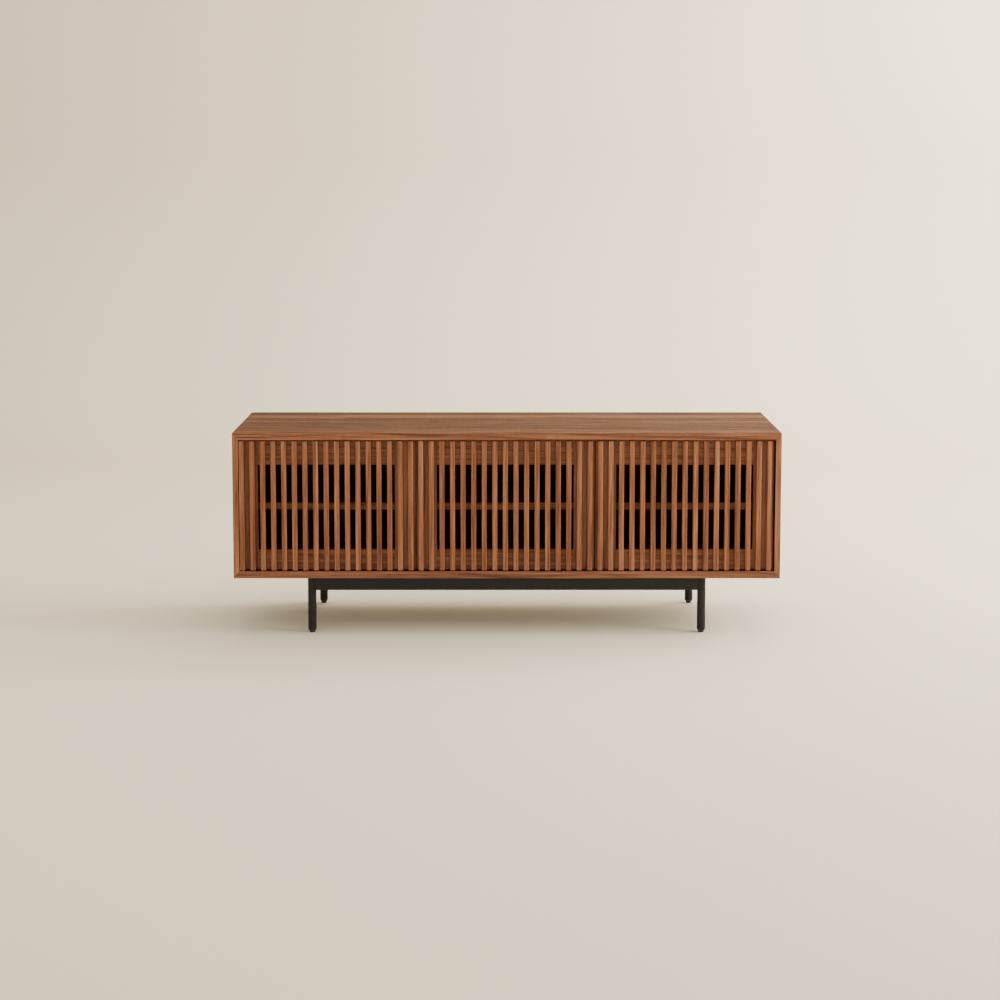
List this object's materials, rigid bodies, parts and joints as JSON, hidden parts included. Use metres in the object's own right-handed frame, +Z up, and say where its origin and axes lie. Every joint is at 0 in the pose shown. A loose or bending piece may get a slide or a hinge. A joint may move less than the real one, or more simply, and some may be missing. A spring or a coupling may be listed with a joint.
{
  "type": "media cabinet",
  "caption": "Low walnut media cabinet with slatted push-open doors, shelves and cable outlets, on a black steel tube base.",
  "frame": {"origin": "on the floor under the middle of the cabinet", "axes": "+X along the cabinet to its right as seen from the front, +Y towards the back, +Z up"},
  "size_m": [1.6, 0.4, 0.6],
  "materials": {
    "birch": "unfinished birch",
    "black_plastic": "black moulded plastic",
    "black_rubber": "black rubber",
    "black_steel": "fine textured black powder coat",
    "black_zinc": "black zinc plated steel",
    "bright_steel": "zinc plated steel",
    "dark_veneer": "dark espresso stained veneer, matt",
    "grey_plastic": "grey moulded plastic",
    "nylon": "black nylon",
    "walnut_case": "satin lacquered walnut veneer, grain along each panel",
    "walnut_frame": "satin lacquered solid walnut",
    "walnut_slats": "satin lacquered solid walnut, grain upright",
    "walnut_top": "satin lacquered walnut veneer in long narrow leaves"
  },
  "bodies": {
    "case": {"back_left_leg": "black_steel", "back_panel": "dark_veneer", "back_rail": "black_steel", "back_right_leg": "black_steel", "base_bolts": "black_zinc", "bottom_panel": "walnut_case", "case_pivot_plates": "bright_steel", "corner_plates": "black_steel", "corner_tongues": "birch", "divider_dowels": "birch", "foot_glides": "black_rubber", "front_left_leg": "black_steel", "front_rail": "black_steel", "front_right_leg": "black_steel", "latch_housings": "black_plastic", "latch_screws": "bright_steel", "left_divider": "dark_veneer", "left_rail": "black_steel", "left_shelf": "dark_veneer", "left_side_panel": "walnut_case", "middle_shelf": "dark_veneer", "outlet_caps": "black_plastic", "outlet_sleeves": "black_plastic", "pivot_plate_screws": "bright_steel", "pivot_washers": "nylon", "right_divider": "dark_veneer", "right_rail": "black_steel", "right_shelf": "dark_veneer", "right_side_panel": "walnut_case", "shelf_edgings": "walnut_case", "shelf_pins": "bright_steel", "top_panel": "walnut_top"},
    "left_door": {"left_door_bottom_rail": "walnut_frame", "left_door_left_stile": "walnut_frame", "left_door_pivot_leaves": "bright_steel", "left_door_right_stile": "walnut_frame", "left_door_screws": "bright_steel", "left_door_slats": "walnut_slats", "left_door_strike_plate": "bright_steel", "left_door_top_rail": "walnut_frame"},
    "left_plunger": {"left_latch_plunger": "grey_plastic"},
    "middle_door": {"middle_door_bottom_rail": "walnut_frame", "middle_door_left_stile": "walnut_frame", "middle_door_pivot_leaves": "bright_steel", "middle_door_right_stile": "walnut_frame", "middle_door_screws": "bright_steel", "middle_door_slats": "walnut_slats", "middle_door_strike_plate": "bright_steel", "middle_door_top_rail": "walnut_frame"},
    "middle_plunger": {"middle_latch_plunger": "grey_plastic"},
    "right_door": {"right_door_bottom_rail": "walnut_frame", "right_door_left_stile": "walnut_frame", "right_door_pivot_leaves": "bright_steel", "right_door_right_stile": "walnut_frame", "right_door_screws": "bright_steel", "right_door_slats": "walnut_slats", "right_door_strike_plate": "bright_steel", "right_door_top_rail": "walnut_frame"},
    "right_plunger": {"right_latch_plunger": "grey_plastic"}
  },
  "joints": [
    {"name": "left_door_hinge", "type": "hinge", "parent": "case", "child": "left_door", "pos_m": [-0.77425, -0.1925, 0.3845], "axis": [0, 0, -1], "range_deg": [0, 105]},
    {"name": "middle_door_hinge", "type": "hinge", "parent": "case", "child": "middle_door", "pos_m": [-0.25108, -0.1925, 0.3845], "axis": [0, 0, -1], "range_deg": [0, 105]},
    {"name": "right_door_hinge", "type": "hinge", "parent": "case", "child": "right_door", "pos_m": [0.76675, -0.1925, 0.3845], "axis": [0, 0, 1], "range_deg": [0, 105]},
    {"name": "left_latch_push", "type": "slide", "parent": "case", "child": "left_plunger", "axis": [0, 1, 0], "range_m": [0, 0.003], "stiffness_N_per_m": 600},
    {"name": "middle_latch_push", "type": "slide", "parent": "case", "child": "middle_plunger", "axis": [0, 1, 0], "range_m": [0, 0.003], "stiffness_N_per_m": 600},
    {"name": "right_latch_push", "type": "slide", "parent": "case", "child": "right_plunger", "axis": [0, 1, 0], "range_m": [0, 0.003], "stiffness_N_per_m": 600}
  ]
}
